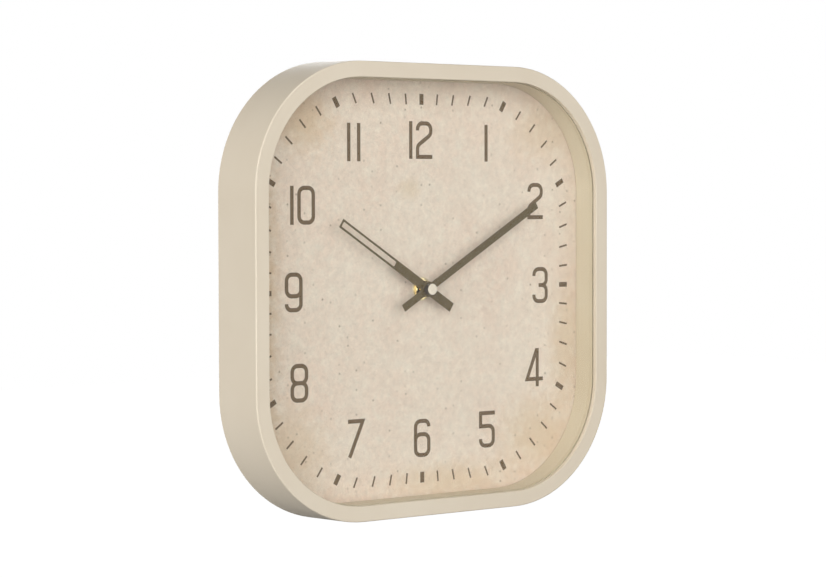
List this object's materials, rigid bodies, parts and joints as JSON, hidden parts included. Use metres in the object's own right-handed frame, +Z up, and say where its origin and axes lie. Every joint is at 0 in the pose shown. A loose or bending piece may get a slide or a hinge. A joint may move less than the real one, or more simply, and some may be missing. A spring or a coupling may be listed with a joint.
{
  "type": "wall clock",
  "caption": "Rounded-square battery wall clock with a deep cream frame, recessed plain-numeral dial, flat glass, two slim bar hands and an open back.",
  "frame": {"origin": "where the wall nail bears on the top of the hanger's slot, on the plane of the wall", "axes": "+X to the right for someone facing the clock, +Y into the wall, +Z up"},
  "size_m": [0.35, 0.047, 0.35],
  "materials": {
    "case_plastic": "satin moulded",
    "clear_glass": "polished float glass",
    "ring_plastic": "satin moulded",
    "dial_board": "hardboard with a printed matt face",
    "zinc_steel": "zinc plated",
    "movement_black": "moulded",
    "movement_grey": "moulded",
    "brass": "turned",
    "rubber": "moulded",
    "board_laminate": "paper laminate",
    "potting_resin": "cast drop",
    "steel_can": "drawn",
    "white_plastic": "moulded",
    "copper_wire": "enamelled wire",
    "core_steel": "stamped",
    "magnet": "sintered",
    "contact_steel": "nickel plated spring",
    "cell": "printed sleeve",
    "hand_paint": "satin paint",
    "cap_black": "moulded",
    "cap_cream": "moulded"
  },
  "bodies": {
    "case": {"frame": "case_plastic", "glass": "clear_glass", "spacer_ring": "ring_plastic", "dial": "dial_board", "dial_clips": "zinc_steel", "dial_screws": "zinc_steel", "hanger_plate": "zinc_steel", "hanger_screws": "zinc_steel", "movement_case": "movement_black", "movement_cover": "movement_grey", "centre_bush": "brass", "rubber_washer": "rubber", "dial_washer": "brass", "fixing_nut": "brass", "circuit_board": "board_laminate", "circuit_chip": "potting_resin", "crystal": "steel_can", "stator": "core_steel", "coil_core": "core_steel", "coil_bobbin": "white_plastic", "coil_winding": "copper_wire", "contact_positive": "contact_steel", "contact_negative": "contact_steel"},
    "minute": {"minute_pipe": "white_plastic", "minute_hand": "hand_paint", "minute_collet": "cap_black", "cap_body": "cap_black", "cap_disc": "cap_cream"},
    "hour": {"hour_wheel": "white_plastic", "hour_hand": "hand_paint", "hour_collet": "cap_black"},
    "motion": {"motion_wheel": "white_plastic"},
    "knob": {"setting_knob": "movement_grey", "setting_pinion": "white_plastic"},
    "fifth": {"fifth_wheel": "white_plastic"},
    "rotor": {"rotor_pinion": "white_plastic", "rotor_magnet": "magnet"},
    "seconds": {"seconds_wheel": "white_plastic"},
    "third": {"third_wheel": "white_plastic"},
    "centre": {"centre_wheel": "white_plastic"},
    "cell": {"battery": "cell"}
  },
  "joints": [
    {"name": "minute_turn", "type": "hinge", "parent": "case", "child": "minute", "pos_m": [0, 0, -0.164], "axis": [0, 1, 0], "continuous": true},
    {"name": "hour_turn", "type": "hinge", "parent": "case", "child": "hour", "pos_m": [0, 0, -0.164], "axis": [0, 1, 0], "continuous": true},
    {"name": "motion_turn", "type": "hinge", "parent": "case", "child": "motion", "pos_m": [0.009, 0, -0.164], "axis": [0, 1, 0], "continuous": true},
    {"name": "knob_turn", "type": "hinge", "parent": "case", "child": "knob", "pos_m": [0.01722, 0, -0.16766], "axis": [0, 1, 0], "continuous": true},
    {"name": "fifth_turn", "type": "hinge", "parent": "case", "child": "fifth", "pos_m": [0.00219, 0, -0.15159], "axis": [0, 1, 0], "continuous": true},
    {"name": "rotor_turn", "type": "hinge", "parent": "case", "child": "rotor", "pos_m": [0.0107, 0, -0.15309], "axis": [0, 1, 0], "continuous": true},
    {"name": "seconds_turn", "type": "hinge", "parent": "case", "child": "seconds", "pos_m": [0, 0, -0.164], "axis": [0, 1, 0], "continuous": true},
    {"name": "third_turn", "type": "hinge", "parent": "case", "child": "third", "pos_m": [-0.0106, 0, -0.15788], "axis": [0, 1, 0], "continuous": true},
    {"name": "centre_turn", "type": "hinge", "parent": "case", "child": "centre", "pos_m": [0, 0, -0.164], "axis": [0, 1, 0], "continuous": true},
    {"name": "battery_slide", "type": "slide", "parent": "case", "child": "cell", "axis": [0, 1, 0], "range_m": [0, 0.02]}
  ],
  "couplings": [
    {"joint": "hour_turn", "follows": "minute_turn", "ratio": 0.083333},
    {"joint": "motion_turn", "follows": "minute_turn", "ratio": -0.33333},
    {"joint": "knob_turn", "follows": "minute_turn", "ratio": 1},
    {"joint": "rotor_turn", "follows": "fifth_turn", "ratio": -5},
    {"joint": "seconds_turn", "follows": "fifth_turn", "ratio": -0.16667},
    {"joint": "third_turn", "follows": "fifth_turn", "ratio": 0.022222},
    {"joint": "centre_turn", "follows": "fifth_turn", "ratio": -0.0027778}
  ]
}
